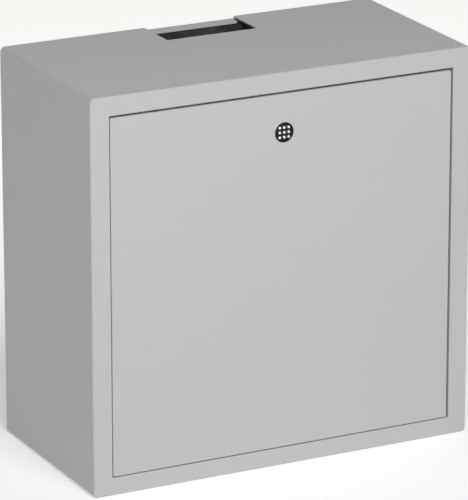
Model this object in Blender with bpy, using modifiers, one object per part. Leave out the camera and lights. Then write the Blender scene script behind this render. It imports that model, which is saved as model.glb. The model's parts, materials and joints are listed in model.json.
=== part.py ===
"""Ashtray bin: a sheet-steel cabinet whose locked front tilts out with a lift-off liner.

Metres, +Z up. The origin is the centre of the base, and the front faces -Y.
"""

import math

import bmesh
import bpy
from mathutils import Vector

# Overall size
WIDTH, DEPTH, HEIGHT = 0.400, 0.200, 0.390
FRONT, REAR = -DEPTH / 2, DEPTH / 2
SHEET = 0.0015
FIT = 0.0003  # gap between pieces that touch
CORNER_RADIUS = 0.005  # of the edges that run from front to rear
FOLD_RADIUS = 0.002

# Front frame, and the door hanging low and to the left in its opening
FRAME_SIDE, FRAME_TOP, FRAME_BOTTOM = 0.0195, 0.019, 0.0178
OPENING_HALF = WIDTH / 2 - FRAME_SIDE
OPENING_LOW, OPENING_HIGH = FRAME_BOTTOM, HEIGHT - FRAME_TOP
RETURN_DEPTH = 0.015
GAP_LEFT, GAP_RIGHT, GAP_TOP, GAP_BOTTOM = 0.0008, 0.0022, 0.0022, 0.0009
DOOR_LEFT, DOOR_RIGHT = -OPENING_HALF + GAP_LEFT, OPENING_HALF - GAP_RIGHT
DOOR_LOW, DOOR_HIGH = OPENING_LOW + GAP_BOTTOM, OPENING_HIGH - GAP_TOP
DOOR_BACK = FRONT + SHEET  # rear face of the door's front sheet
RETURN_END = FRONT + RETURN_DEPTH

# Back panel's wall holes
WALL_HOLE_X, WALL_HOLE_Z, WALL_HOLE_RADIUS = 0.150, (0.060, 0.330), 0.00275

# Drop slot, ledge and chute
NOTCH_HALF, NOTCH_FRONT = 0.048, 0.0495
LEDGE_HALF, LEDGE_FRONT, LEDGE_DROP, LEDGE_CORNER = 0.046, 0.0845, 0.002, 0.004
TAB_HALF, TAB_LOW, TAB_SHEET = 0.040, 0.358, 0.0013  # the ledge's fixing tab
TOP_RIVET_X, TOP_RIVET_Z = 0.032, 0.367

# Door hinge
HINGE_Y, HINGE_Z = FRONT + 0.006, DOOR_LOW + 0.030
PIN_RADIUS = 0.0025
PIN_FLANGE = 0.0041  # clears the front sheet
PIN_END = 0.172  # X of the pin's inner end

# Stays: arcs about the hinge axis
STAY_RADIUS, STAY_WIDTH, STAY_THICKNESS = 0.120, 0.014, 0.002
STAY_START, STAY_END, STOP_ANGLE = -1.2, 56.5, 53.2  # degrees from upright, towards the rear
GUIDE_Y, GUIDE_THICKNESS = -0.073, 0.002

# Lock, 19 mm face
LOCK_Z = HEIGHT - 0.0586
LOCK_FACE_RADIUS = 0.0095
CAM_LENGTH = 0.045
FACE_PIN_PITCH, FACE_PIN_RADIUS = 0.0047, 0.00115  # the square of nine pins on its face

# Liner, hung on the door
LINER_HALF, LINER_FRONT, LINER_REAR = 0.158, -0.080, 0.068
LINER_LOW, LINER_RIM, LINER_SHEET, RIM_WIDTH = 0.024, 0.275, 0.001, 0.004
HOOK_X = 0.100
RAIL_TOP = 0.2557  # the hooks hang over it
HOOK_RIVETS = (("lower", 0.220), ("upper", 0.230))
EAR_BASE, EAR_RIVET_Z = 0.258, 0.266
EAR_RIVETS = (("front", -0.016), ("rear", 0.004))
BAIL_Y, BAIL_Z, BAIL_ARM, BAIL_HALF, WIRE_RADIUS = -0.006, 0.281, 0.060, 0.152, 0.002

CORNER_STEPS = 5
ROUND_STEPS = 24
SIDES = (("left", -1), ("right", 1))

ALONG_X = (math.radians(90), 0, math.radians(90))  # outline in (Y, Z), thickness along X
ALONG_Y = (math.radians(90), 0, 0)  # outline in (X, Z), thickness along Y
FACE_FRONT = (math.radians(90), 0, 0)  # a turned piece's top towards -Y
FACE_REAR = (math.radians(-90), 0, 0)
FACE_SIDE = {1: (0, math.radians(90), 0), -1: (0, math.radians(-90), 0)}


def clear_scene():
    for item in list(bpy.data.objects):
        bpy.data.objects.remove(item, do_unlink=True)


clear_scene()
PARTS = bpy.data.collections.new("ashtray_bin")
CUTTERS = bpy.data.collections.new("cutters")
bpy.context.scene.collection.children.link(PARTS)
bpy.context.scene.collection.children.link(CUTTERS)


def material(name, colour, roughness, metallic):
    made = bpy.data.materials.new(name)
    made.use_nodes = True
    shader = made.node_tree.nodes["Principled BSDF"]
    shader.inputs["Base Color"].default_value = (*colour, 1.0)
    shader.inputs["Roughness"].default_value = roughness
    shader.inputs["Metallic"].default_value = metallic
    return made


def axis_empty(name, location, parent=None):
    """A joint's axis, which its moving pieces are parented to."""
    empty = bpy.data.objects.new(name, None)
    empty.location = Vector(location) - (Vector(parent["world"]) if parent else Vector())
    empty["world"] = list(location)
    empty.parent = parent
    PARTS.objects.link(empty)
    return empty


def add(name, data, look, parent=None, location=(0, 0, 0), rotation=(0, 0, 0)):
    """Links a piece, named and coloured, at a world location under its parent's axis."""
    made = bpy.data.objects.new(name, data)
    made.location = Vector(location) - (Vector(parent["world"]) if parent else Vector())
    made.rotation_euler = rotation
    made.parent = parent
    data.name = name
    piece_material = look.copy()
    piece_material.name = name
    data.materials.append(piece_material)
    PARTS.objects.link(made)
    return made


def as_cutter(made):
    """Moves a helper to the cutters' collection, out of the render."""
    PARTS.objects.unlink(made)
    CUTTERS.objects.link(made)
    made.hide_render = True
    made.display_type = "WIRE"
    return made


def boolean(target, other, operation="DIFFERENCE"):
    modifier = target.modifiers.new(other.name, "BOOLEAN")
    modifier.operation = operation
    modifier.object = other


def mesh_from(bm, smooth=True):
    mesh = bpy.data.meshes.new("mesh")
    bm.to_mesh(mesh)
    bm.free()
    if smooth:
        mesh.shade_smooth()
        mesh.set_sharp_from_angle(angle=math.radians(35))
    return mesh


def box_mesh(low, high):
    """A box's bmesh, from its lowest to its highest corner."""
    low, high = Vector(low), Vector(high)
    bm = bmesh.new()
    bmesh.ops.create_cube(bm, size=1.0)
    for vert in bm.verts:
        vert.co = Vector(a + (c + 0.5) * (b - a) for a, b, c in zip(low, high, vert.co))
    return bm


def cut_box(targets, name, low, high):
    cutter = as_cutter(add(name, mesh_from(box_mesh(low, high), False), STEEL))
    for target in targets:
        boolean(target, cutter)


def join_box(target, name, low, high):
    centre = (Vector(low) + Vector(high)) / 2
    mesh = mesh_from(box_mesh(Vector(low) - centre, Vector(high) - centre), False)
    boolean(target, as_cutter(add(name, mesh, STEEL, location=centre)), "UNION")


def drill(targets, name, centre, radius, length, rotation):
    """A round hole through each target; its axis is the turned direction."""
    bm = bmesh.new()
    bmesh.ops.create_cone(
        bm, cap_ends=True, segments=ROUND_STEPS, radius1=radius, radius2=radius, depth=length
    )
    cutter = as_cutter(add(name, mesh_from(bm), STEEL, location=centre, rotation=rotation))
    for target in targets:
        boolean(target, cutter)


def sheet_pan(name, low, high, open_side, corner, look, parent=None, origin=(0, 0, 0), fold=0.0,
              thickness=SHEET, rim=0.0):
    """A folded box of sheet with one side open. low and high are its outer corners.

    corner rounds the edges that run towards the open side, fold those of the side opposite,
    and rim turns the open edge outwards.
    """
    out = Vector(open_side)
    bm = box_mesh(low, high)
    bm.normal_update()
    missing = [face for face in bm.faces if face.normal.dot(out) > 0.9]
    bmesh.ops.delete(bm, geom=missing, context="FACES")
    deep = [
        edge for edge in bm.edges
        if abs((edge.verts[1].co - edge.verts[0].co).normalized().dot(out)) > 0.9
    ]
    bmesh.ops.bevel(
        bm, geom=deep, offset=corner, segments=CORNER_STEPS, profile=0.5, affect="EDGES"
    )
    if fold:
        bm.normal_update()
        closed = [face for face in bm.faces if face.normal.dot(out) < -0.9]
        bmesh.ops.bevel(
            bm, geom=list(closed[0].edges), offset=fold, segments=2, profile=0.5, affect="EDGES"
        )
    if rim:
        centre = (Vector(low) + Vector(high)) / 2
        half = (Vector(high) - Vector(low)) / 2
        border = [edge for edge in bm.edges if edge.is_boundary]
        made = bmesh.ops.extrude_edge_only(bm, edges=border)["geom"]
        for vert in (item for item in made if isinstance(item, bmesh.types.BMVert)):
            offset = vert.co - centre
            for i in range(3):
                if not out[i]:
                    vert.co[i] += rim * offset[i] / half[i]
    bmesh.ops.translate(bm, verts=bm.verts, vec=-Vector(origin))
    made = add(name, mesh_from(bm), look, parent, origin)
    solidify = made.modifiers.new("sheet", "SOLIDIFY")
    solidify.thickness = thickness
    solidify.offset = -1.0
    solidify.use_even_offset = True
    solidify.use_quality_normals = True
    return made


def circle(centre_u, centre_v, radius, steps=ROUND_STEPS):
    return [
        (centre_u + radius * math.cos(math.tau * i / steps),
         centre_v + radius * math.sin(math.tau * i / steps))
        for i in range(steps)
    ]


def arc(centre_u, centre_v, radius, start, end, steps=8):
    """Points from the start angle to the end angle, in degrees."""
    angles = [math.radians(start + (end - start) * i / steps) for i in range(steps + 1)]
    return [(centre_u + radius * math.cos(a), centre_v + radius * math.sin(a)) for a in angles]


def plate(name, outline, thickness, look, parent=None, location=(0, 0, 0), rotation=(0, 0, 0),
          holes=(), solid=False):
    """A flat outline with holes. solid makes it a mesh, which takes a Boolean."""
    curve = bpy.data.curves.new(name, "CURVE")
    curve.dimensions = "2D"
    curve.fill_mode = "BOTH"
    curve.extrude = thickness / 2
    for ring in (outline, *holes):
        spline = curve.splines.new("POLY")
        spline.points.add(len(ring) - 1)
        for point, (u, v) in zip(spline.points, ring):
            point.co = (u, v, 0, 1)
        spline.use_cyclic_u = True
    made = add(name, curve, look, parent, location, rotation)
    if not solid:
        return made
    bpy.context.view_layer.update()
    mesh = bpy.data.meshes.new_from_object(
        made.evaluated_get(bpy.context.evaluated_depsgraph_get())
    )
    bm = bmesh.new()
    bm.from_mesh(mesh)
    bmesh.ops.remove_doubles(bm, verts=bm.verts, dist=1e-6)
    bm.to_mesh(mesh)
    bm.free()
    mesh.materials.clear()
    bpy.data.objects.remove(made, do_unlink=True)
    return add(name, mesh, look, parent, location, rotation)


def turned(name, profile, look, parent=None, location=(0, 0, 0), rotation=(0, 0, 0),
           steps=ROUND_STEPS):
    """A profile of (radius, height) points, outer side downwards, turned about its own Z."""
    bm = bmesh.new()
    verts = [bm.verts.new((radius, 0, height)) for radius, height in profile]
    ring = profile[0][0] > 0
    for a, b in zip(verts, verts[1:] + (verts[:1] if ring else [])):
        bm.edges.new((a, b))
    made = add(name, mesh_from(bm, False), look, parent, location, rotation)
    screw = made.modifiers.new("turn", "SCREW")
    screw.steps = screw.render_steps = steps
    screw.use_merge_vertices = True
    screw.merge_threshold = 0.00001
    screw.use_smooth_shade = True
    return made


def ring_profile(inner, outer, low, high):
    return [(outer, high), (outer, low), (inner, low), (inner, high)]


def rivet(name, head_at, direction, head_radius, head_height, shank_radius, length, look,
          parent=None, tail=0.0):
    """A rivet whose shank runs from its head along direction; tail is the set end's radius."""
    profile = [
        (0, head_height),
        (head_radius * 0.6, head_height * 0.85),
        (head_radius, head_height * 0.25),
        (head_radius, 0),
        (shank_radius, 0),
    ]
    if tail:
        profile += [(shank_radius, -length), (tail, -length), (tail, -length - 0.0007)]
        profile += [(0, -length - 0.0007)]
    else:
        profile += [(shank_radius, -length), (0, -length)]
    return turned(name, profile, look, parent, head_at, direction, steps=12)


GREY_PAINT = material("grey_paint", (0.56, 0.56, 0.54), 0.55, 0.0)
DARK_PAINT = material("dark_paint", (0.03, 0.03, 0.028), 0.6, 0.0)
STEEL = material("steel", (0.55, 0.55, 0.53), 0.35, 1.0)
ZINC = material("zinc", (0.60, 0.62, 0.63), 0.42, 1.0)
BLACK = material("black", (0.012, 0.012, 0.012), 0.35, 0.0)
RUBBER = material("rubber", (0.02, 0.02, 0.02), 0.85, 0.0)
NYLON = material("nylon", (0.75, 0.74, 0.70), 0.5, 0.0)
WHITE = material("white", (0.86, 0.86, 0.84), 0.4, 0.0)

door_axis = axis_empty("door_axis", (0, HINGE_Y, HINGE_Z))
lock_axis = axis_empty("lock_axis", (0, FRONT, LOCK_Z), door_axis)
liner_frame = axis_empty("liner_frame", (0, LINER_FRONT, LINER_LOW), door_axis)
bail_axis = axis_empty("bail_axis", (0, BAIL_Y, BAIL_Z), liner_frame)


def door_inner(side):
    """X of the inner face of the door's return on this side."""
    return DOOR_RIGHT - SHEET if side > 0 else DOOR_LEFT + SHEET


def at_angle(radius, degrees):
    """(Y, Z) at an angle from upright about the hinge axis, towards the rear."""
    angle = math.radians(degrees)
    return HINGE_Y + radius * math.sin(angle), HINGE_Z + radius * math.cos(angle)


STAY_RIVETS = [(HINGE_Y + 0.0022, HINGE_Z + STAY_RADIUS + dz) for dz in (-0.0035, 0.0035)]


def build_casing():
    shell = sheet_pan(
        "housing_shell", (-WIDTH / 2, FRONT, 0), (WIDTH / 2, REAR, HEIGHT), (0, 1, 0),
        CORNER_RADIUS, GREY_PAINT, fold=FOLD_RADIUS,
    )
    collar_low = (-OPENING_HALF - SHEET, FRONT + SHEET / 2, OPENING_LOW - SHEET)
    collar_high = (OPENING_HALF + SHEET, RETURN_END, OPENING_HIGH + SHEET)
    join_box(shell, "frame_return", collar_low, collar_high)
    cut_box([shell], "door_opening", (-OPENING_HALF, FRONT - SHEET, OPENING_LOW),
            (OPENING_HALF, RETURN_END + SHEET, OPENING_HIGH))
    cut_box([shell], "slot_notch", (-NOTCH_HALF, NOTCH_FRONT, HEIGHT - 2 * SHEET),
            (NOTCH_HALF, REAR + SHEET, HEIGHT + SHEET))
    drill([shell], "pin_holes", (0, HINGE_Y, HINGE_Z), PIN_RADIUS + FIT,
          2 * OPENING_HALF + 4 * SHEET, ALONG_X)

    inset = SHEET + FIT
    back = sheet_pan(
        "back_panel", (-WIDTH / 2 + inset, REAR - 0.012, inset),
        (WIDTH / 2 - inset, REAR, HEIGHT - inset), (0, -1, 0), CORNER_RADIUS - inset, GREY_PAINT,
    )
    cut_box([back], "ledge_notch", (-NOTCH_HALF - 0.001, REAR - 0.013, HEIGHT - 0.010),
            (NOTCH_HALF + 0.001, REAR - SHEET, HEIGHT))
    for x in (-WALL_HOLE_X, WALL_HOLE_X):
        for z in WALL_HOLE_Z:
            drill([back], "wall_hole", (x, REAR, z), WALL_HOLE_RADIUS, 0.01, ALONG_Y)
    return back


def build_slot(back):
    ledge_top = HEIGHT - LEDGE_DROP
    ledge_rear = REAR - SHEET - FIT
    round_x, round_y = LEDGE_HALF - LEDGE_CORNER, LEDGE_FRONT + LEDGE_CORNER
    outline = [(LEDGE_HALF, ledge_rear), (-LEDGE_HALF, ledge_rear)]
    outline += arc(-round_x, round_y, LEDGE_CORNER, 180, 270, CORNER_STEPS)
    outline += arc(round_x, round_y, LEDGE_CORNER, 270, 360, CORNER_STEPS)
    ledge = plate("stub_ledge", outline, SHEET, GREY_PAINT,
                  location=(0, 0, ledge_top - SHEET / 2), solid=True)
    join_box(ledge, "ledge_tab", (-TAB_HALF, ledge_rear - TAB_SHEET, TAB_LOW),
             (TAB_HALF, ledge_rear - 0.0001, ledge_top - SHEET / 2))

    chute_back, chute_sheet = ledge_rear - TAB_SHEET - FIT, 0.0012
    mouth, shelf, lip = (0.054, 0.345), ledge_top - SHEET - FIT, 0.083
    chute_low = 0.338
    rise = math.atan2(shelf - mouth[1], lip - mouth[0])
    along = chute_sheet / math.tan((math.pi - rise) / 2)
    down, across = chute_sheet * math.cos(rise), chute_sheet * math.sin(rise)
    profile = [
        (chute_back, chute_low),
        (chute_back, shelf),
        (lip, shelf),
        mouth,
        (mouth[0] + across, mouth[1] - down),
        (lip + along, shelf - chute_sheet),
        (chute_back - chute_sheet, shelf - chute_sheet),
        (chute_back - chute_sheet, chute_low),
    ]
    chute = plate("slot_chute", profile, 0.098, DARK_PAINT, rotation=ALONG_X, solid=True)
    cheek_top = HEIGHT - SHEET - 0.0004
    for side, sign in SIDES:
        cheek = plate(
            "chute_cheek_" + side,
            [(0.050, cheek_top), (0.050, 0.3445), (0.0542, 0.3445), (lip + 0.0003, shelf - 0.0004),
             (lip + 0.0003, cheek_top)],
            chute_sheet, STEEL, location=(sign * 0.0491, 0, 0), rotation=ALONG_X, solid=True,
        )
        boolean(chute, as_cutter(cheek), "UNION")
    for side, sign in SIDES:
        drill([back, ledge, chute], "top_rivet_hole_" + side, (sign * TOP_RIVET_X, REAR, TOP_RIVET_Z),
              0.0019, 0.02, ALONG_Y)
        rivet("top_rivet_" + side, (sign * TOP_RIVET_X, chute_back - chute_sheet - FIT, TOP_RIVET_Z),
              FACE_FRONT, 0.003, 0.0011, 0.0016, 0.0049, STEEL)


def build_strike():
    top = OPENING_HIGH + SHEET + FIT
    leg, leg_low = RETURN_END + FIT, OPENING_HIGH - 0.015
    profile = [
        (FRONT + SHEET + FIT, top),
        (leg, top),
        (leg, leg_low),
        (leg + SHEET, leg_low),
        (leg + SHEET, top + SHEET),
        (FRONT + SHEET + FIT, top + SHEET),
    ]
    plate("lock_strike", profile, 0.050, ZINC, rotation=ALONG_X)


def build_guides():
    """Slotted brackets on the side walls, each with a rubber stop for the closed door."""
    wall = WIDTH / 2 - SHEET - FIT
    low, high = 0.150, 0.196
    front_face, rear_face = GUIDE_Y - GUIDE_THICKNESS / 2, GUIDE_Y + GUIDE_THICKNESS / 2
    reach_in = front_face - HINGE_Y
    reach_out = rear_face - HINGE_Y
    inner, outer = STAY_RADIUS - STAY_WIDTH / 2, STAY_RADIUS + STAY_WIDTH / 2
    slot_low = HINGE_Z + math.sqrt(inner**2 - reach_out**2) - 0.0005
    slot_high = HINGE_Z + math.sqrt(outer**2 - reach_in**2) + 0.0005
    for side, sign in SIDES:
        face = door_inner(sign) - sign * FIT
        slot_a = face + sign * 0.0004
        slot_b = face - sign * (STAY_THICKNESS + 0.0004)
        slot = [(slot_a, slot_low), (slot_b, slot_low), (slot_b, slot_high), (slot_a, slot_high)]
        buffer_x = door_inner(sign) + sign * SHEET / 2
        buffer_z = 0.186
        edge_in, edge_out = sign * 0.168, sign * wall
        outline = [(edge_in, low), (edge_out, low), (edge_out, high), (edge_in, high)]
        guide = plate(
            "stay_guide_" + side, outline, GUIDE_THICKNESS, ZINC, location=(0, GUIDE_Y, 0),
            rotation=ALONG_Y, holes=(slot, circle(buffer_x, buffer_z, 0.0022)), solid=True,
        )
        foot = sorted((sign * wall, sign * (wall - GUIDE_THICKNESS)))
        join_box(guide, "guide_foot_" + side, (foot[0], front_face, low),
                 (foot[1], GUIDE_Y + 0.022, high))
        ahead = front_face - FIT - GUIDE_Y
        behind = rear_face + FIT - GUIDE_Y
        head = RETURN_END + FIT - GUIDE_Y
        profile = [
            (0, -head),
            (0.0030, -head),
            (0.0042, -head - 0.0015),
            (0.0046, -ahead),
            (0.0018, -ahead),
            (0.0018, -behind),
            (0.0032, -behind),
            (0.0020, -behind - 0.003),
            (0, -behind - 0.003),
        ]
        turned("door_buffer_" + side, profile, RUBBER, None, (buffer_x, GUIDE_Y, buffer_z),
               FACE_FRONT, steps=16)


def build_hinges(door):
    drill([door], "bush_holes", (0, HINGE_Y, HINGE_Z), 0.0039, 2 * OPENING_HALF, ALONG_X)
    flange, bush_outer = 0.001, 0.0036
    for side, sign in SIDES:
        frame_face = sign * (OPENING_HALF + SHEET + FIT)
        inner_face = door_inner(sign)
        shank = abs(frame_face) - PIN_END
        turned(
            "hinge_pin_" + side,
            [(0, 0.002), (0.0035, 0.002), (PIN_FLANGE, 0.0014), (PIN_FLANGE, 0), (PIN_RADIUS, 0),
             (PIN_RADIUS, -shank + 0.0005), (PIN_RADIUS - 0.0005, -shank), (0, -shank)],
            STEEL, None, (frame_face, HINGE_Y, HINGE_Z), FACE_SIDE[sign],
        )
        bore = PIN_RADIUS + FIT
        turned(
            "hinge_bush_" + side,
            [(bush_outer, SHEET + 2 * FIT), (bush_outer, 0), (PIN_FLANGE, 0), (PIN_FLANGE, -flange),
             (bore, -flange), (bore, SHEET + 2 * FIT)],
            NYLON, door_axis, (inner_face - sign * FIT, HINGE_Y, HINGE_Z), FACE_SIDE[sign],
        )
        turned(
            "hinge_clip_" + side,
            ring_profile(PIN_RADIUS + FIT, PIN_FLANGE, 0, 0.0015), STEEL, None,
            (sign * (PIN_END + 0.0015), HINGE_Y, HINGE_Z), FACE_SIDE[sign],
        )


def build_stays():
    inner, outer = STAY_RADIUS - STAY_WIDTH / 2, STAY_RADIUS + STAY_WIDTH / 2
    start, end = 90 - STAY_START, 90 - STAY_END
    outline = arc(HINGE_Y, HINGE_Z, outer, start, end, 16)
    outline += arc(HINGE_Y, HINGE_Z, inner, end, start, 16)
    stop = at_angle(STAY_RADIUS, STOP_ANGLE)
    holes = [circle(y, z, 0.0019, 12) for y, z in STAY_RIVETS]
    holes.append(circle(*stop, 0.0025, 12))
    for side, sign in SIDES:
        centre = door_inner(sign) - sign * (FIT + STAY_THICKNESS / 2)
        plate("door_stay_" + side, [(y - HINGE_Y, z - HINGE_Z) for y, z in outline],
              STAY_THICKNESS, ZINC, door_axis, (centre, HINGE_Y, HINGE_Z), ALONG_X,
              holes=[[(y - HINGE_Y, z - HINGE_Z) for y, z in hole] for hole in holes])
        grip = STAY_THICKNESS / 2 + FIT
        profile = [(0, 0.0040), (0.0035, 0.0040), (0.0040, 0.0035), (0.0040, grip), (0.0022, grip)]
        profile += [(radius, -height) for radius, height in reversed(profile)]
        turned("stay_stop_" + side, profile, STEEL, door_axis, (centre, *stop), FACE_SIDE[sign],
               steps=16)
        for place, (y, z) in zip(("lower", "upper"), STAY_RIVETS):
            rivet(f"stay_rivet_{side}_{place}",
                  (centre - sign * (STAY_THICKNESS / 2 + FIT), y, z), FACE_SIDE[-sign],
                  0.0029, 0.0010, 0.0016, STAY_THICKNESS + 2 * FIT + SHEET - 0.0001, STEEL,
                  door_axis)


def build_door():
    door = sheet_pan(
        "door_panel", (DOOR_LEFT, FRONT, DOOR_LOW), (DOOR_RIGHT, RETURN_END, DOOR_HIGH),
        (0, 1, 0), 0.002, GREY_PAINT, door_axis, (0, HINGE_Y, HINGE_Z),
    )
    drill([door], "lock_hole", (0, FRONT, LOCK_Z), LOCK_FACE_RADIUS + FIT, 0.01, ALONG_Y)
    for y, z in STAY_RIVETS:
        drill([door], "stay_rivet_holes", (0, y, z), 0.0019, 2 * OPENING_HALF, ALONG_X)
    back = DOOR_BACK + FIT
    rail_low, rail_shelf = 0.222, 0.238
    profile = [
        (back, rail_low), (back + SHEET, rail_low), (back + SHEET, rail_shelf - SHEET),
        (RETURN_END, rail_shelf - SHEET), (RETURN_END, RAIL_TOP), (RETURN_END - SHEET, RAIL_TOP),
        (RETURN_END - SHEET, rail_shelf), (back, rail_shelf),
    ]
    plate("liner_rail", profile, 0.280, ZINC, door_axis, rotation=ALONG_X)
    for side, sign in SIDES:
        length = LINER_FRONT - FIT - back
        turned(
            "liner_buffer_" + side,
            [(0, length), (0.0055, length), (0.0068, length - 0.0012), (0.0060, length / 2),
             (0.0080, 0.001), (0.0080, 0), (0, 0)],
            RUBBER, door_axis, (sign * HOOK_X, back, 0.060), FACE_REAR, steps=20,
        )
    return door


def build_lock():
    back = DOOR_BACK + FIT
    web_front, web_back = FRONT + 0.0058, FRONT + 0.0073
    half_web, half_hat, half_height = 0.022, 0.036, 0.022
    profile = [
        (-half_hat, back), (-half_web + SHEET, back), (-half_web + SHEET, web_front),
        (half_web - SHEET, web_front), (half_web - SHEET, back), (half_hat, back),
        (half_hat, back + SHEET), (half_web, back + SHEET), (half_web, web_back),
        (-half_web, web_back), (-half_web, back + SHEET), (-half_hat, back + SHEET),
    ]
    body_radius = 0.0090
    bracket = plate("lock_bracket", profile, 2 * half_height, ZINC, door_axis, (0, 0, LOCK_Z),
                    solid=True)
    drill([bracket], "lock_bracket_hole", (0, web_front, LOCK_Z), body_radius + FIT, 0.006,
          ALONG_Y)

    shoulder_front = back - FRONT
    shoulder_back = web_front - FIT - FRONT
    body_end = 0.0164
    bore, well, well_depth = 0.0068, 0.0086, 0.0032
    turned(
        "lock_barrel",
        [(LOCK_FACE_RADIUS - 0.0004, 0), (LOCK_FACE_RADIUS, -0.0004),
         (LOCK_FACE_RADIUS, -shoulder_front), (0.012, -shoulder_front), (0.012, -shoulder_back),
         (body_radius, -shoulder_back), (body_radius, -body_end), (bore, -body_end), (bore, -well_depth), (well, -well_depth),
         (well, 0)],
        BLACK, door_axis, (0, FRONT, LOCK_Z), FACE_FRONT,
    )
    across_flats = 0.024
    plate("lock_nut", circle(0, 0, across_flats / math.sqrt(3), 6), 0.004, ZINC, door_axis,
          (0, web_back + FIT + 0.002, LOCK_Z), ALONG_Y, holes=[circle(0, 0, body_radius + FIT)])

    flange, flange_face = well - FIT, 0.0020
    plug, stub, cam_front = 0.0065, 0.0040, 0.0171
    turned(
        "lock_plug",
        [(0, -flange_face), (flange, -flange_face), (flange, -well_depth + FIT),
         (plug, -well_depth + FIT),
         (plug, -cam_front + FIT), (stub, -cam_front + FIT), (stub, -cam_front - 0.0022),
         (0.0026, -cam_front - 0.0022), (0.0026, -0.010), (0, -0.010)],
        BLACK, lock_axis, (0, FRONT, LOCK_Z), FACE_FRONT,
    )
    plate_low, plate_high = -flange_face + FIT, -0.0010
    pin_plate = turned(
        "lock_pin_plate",
        [(0, plate_high), (flange, plate_high), (flange, plate_low), (0, plate_low)],
        WHITE, lock_axis, (0, FRONT, LOCK_Z), FACE_FRONT,
    )
    pins = bmesh.new()
    pin_low, pin_high = plate_high - 0.0003, -0.0001
    for column in (-1, 0, 1):
        for row in (-1, 0, 1):
            made = bmesh.ops.create_cone(
                pins, cap_ends=True, segments=12, radius1=FACE_PIN_RADIUS,
                radius2=FACE_PIN_RADIUS, depth=pin_high - pin_low,
            )["verts"]
            offset = (FACE_PIN_PITCH * column, FACE_PIN_PITCH * row, (pin_low + pin_high) / 2)
            bmesh.ops.translate(pins, verts=made, vec=offset)
    boolean(pin_plate, as_cutter(add("pins", mesh_from(pins), STEEL, None, (0, FRONT, LOCK_Z),
                                     FACE_FRONT)), "UNION")

    hub, arm = 0.0090, 0.0065
    tip = arc(-CAM_LENGTH + arm, 0, arm, 90, 270, 8)
    reach = math.degrees(math.asin(arm / hub))
    cam = tip + arc(0, 0, hub, -180 + reach, 180 - reach, 20)
    plate("lock_cam", cam, 0.002, ZINC, lock_axis, (0, FRONT + cam_front + 0.001, LOCK_Z),
          ALONG_Y, holes=[circle(0, 0, stub + FIT)])
    washer = cam_front + 0.0022 + FIT
    turned("cam_washer", ring_profile(0.0026, 0.0055, -washer - 0.001, -washer), STEEL, lock_axis,
           (0, FRONT, LOCK_Z), FACE_FRONT)
    head = washer + 0.001 + FIT
    turned(
        "cam_screw",
        [(0, -0.0108), (0.0022, -0.0108), (0.0022, -head), (0.0042, -head), (0.0042, -head - 0.0016),
         (0.0032, -head - 0.0026), (0, -head - 0.0028)],
        STEEL, lock_axis, (0, FRONT, LOCK_Z), FACE_FRONT, steps=16,
    )


def build_liner():
    liner = sheet_pan(
        "liner_body", (-LINER_HALF, LINER_FRONT, LINER_LOW), (LINER_HALF, LINER_REAR, LINER_RIM),
        (0, 0, 1), 0.006, ZINC, liner_frame, (0, LINER_FRONT, LINER_LOW), fold=0.003,
        thickness=LINER_SHEET, rim=RIM_WIDTH,
    )
    wall = LINER_FRONT - FIT
    plate_sheet, hook_low, hook_lip = 0.002, 0.215, 0.243
    bend = RAIL_TOP + FIT
    crown = bend + plate_sheet
    nose = RETURN_END - SHEET - 0.0025
    hook_profile = [
        (wall, hook_low), (wall, crown), (nose - plate_sheet, crown), (nose - plate_sheet, hook_lip),
        (nose, hook_lip), (nose, bend), (wall - plate_sheet, bend), (wall - plate_sheet, hook_low),
    ]
    for side, sign in SIDES:
        hook = plate("liner_hook_" + side, hook_profile, 0.030, ZINC, liner_frame,
                     (sign * HOOK_X, 0, 0), ALONG_X, solid=True)
        for place, z in HOOK_RIVETS:
            drill([liner, hook], f"hook_hole_{side}_{place}", (sign * HOOK_X, LINER_FRONT, z),
                  0.0019, 0.012, ALONG_Y)
            rivet(f"hook_rivet_{side}_{place}", (sign * HOOK_X, wall - plate_sheet - FIT, z),
                  FACE_FRONT, 0.0029, 0.0008, 0.0016,
                  plate_sheet + LINER_SHEET + 3 * FIT, STEEL, liner_frame, tail=0.0026)

    ear_sheet, ear_round = 0.0015, 0.0065
    inner = LINER_HALF - LINER_SHEET - FIT - ear_sheet
    rest_top = BAIL_Z - WIRE_RADIUS - FIT
    ear_front, ear_rear = BAIL_Y - 0.018, BAIL_Y + 0.018
    outline = [(ear_front, EAR_BASE), (ear_rear, EAR_BASE), (ear_rear, rest_top)]
    outline += arc(BAIL_Y, BAIL_Z, ear_round, 0, 180, 10)
    outline += [(ear_front, rest_top)]
    for _, y in EAR_RIVETS:
        drill([liner], "ear_holes", (0, y, EAR_RIVET_Z), 0.0019, 2 * LINER_HALF + 0.01, ALONG_X)
    for side, sign in SIDES:
        holes = [circle(y, EAR_RIVET_Z, 0.0019, 12) for _, y in EAR_RIVETS]
        holes.append(circle(BAIL_Y, BAIL_Z, WIRE_RADIUS + 0.0004, 16))
        ear = plate("bail_ear_" + side, outline, ear_sheet, ZINC, liner_frame,
                    (sign * (inner + ear_sheet / 2), 0, 0), ALONG_X, holes=holes, solid=True)
        for place, low in (("front", ear_front), ("rear", ear_rear - 0.004)):
            across = sorted((sign * (BAIL_HALF - 0.003), sign * (inner + ear_sheet - 0.0002)))
            join_box(ear, f"ear_rest_{side}_{place}", (across[0], low + 0.0001, rest_top - SHEET),
                     (across[1], low + 0.0039, rest_top))
        for place, y in EAR_RIVETS:
            rivet(f"ear_rivet_{side}_{place}", (sign * (inner - FIT), y, EAR_RIVET_Z),
                  FACE_SIDE[-sign],
                  0.0029, 0.0008, 0.0016, ear_sheet + LINER_SHEET + 3 * FIT, STEEL, liner_frame,
                  tail=0.0026)


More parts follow.
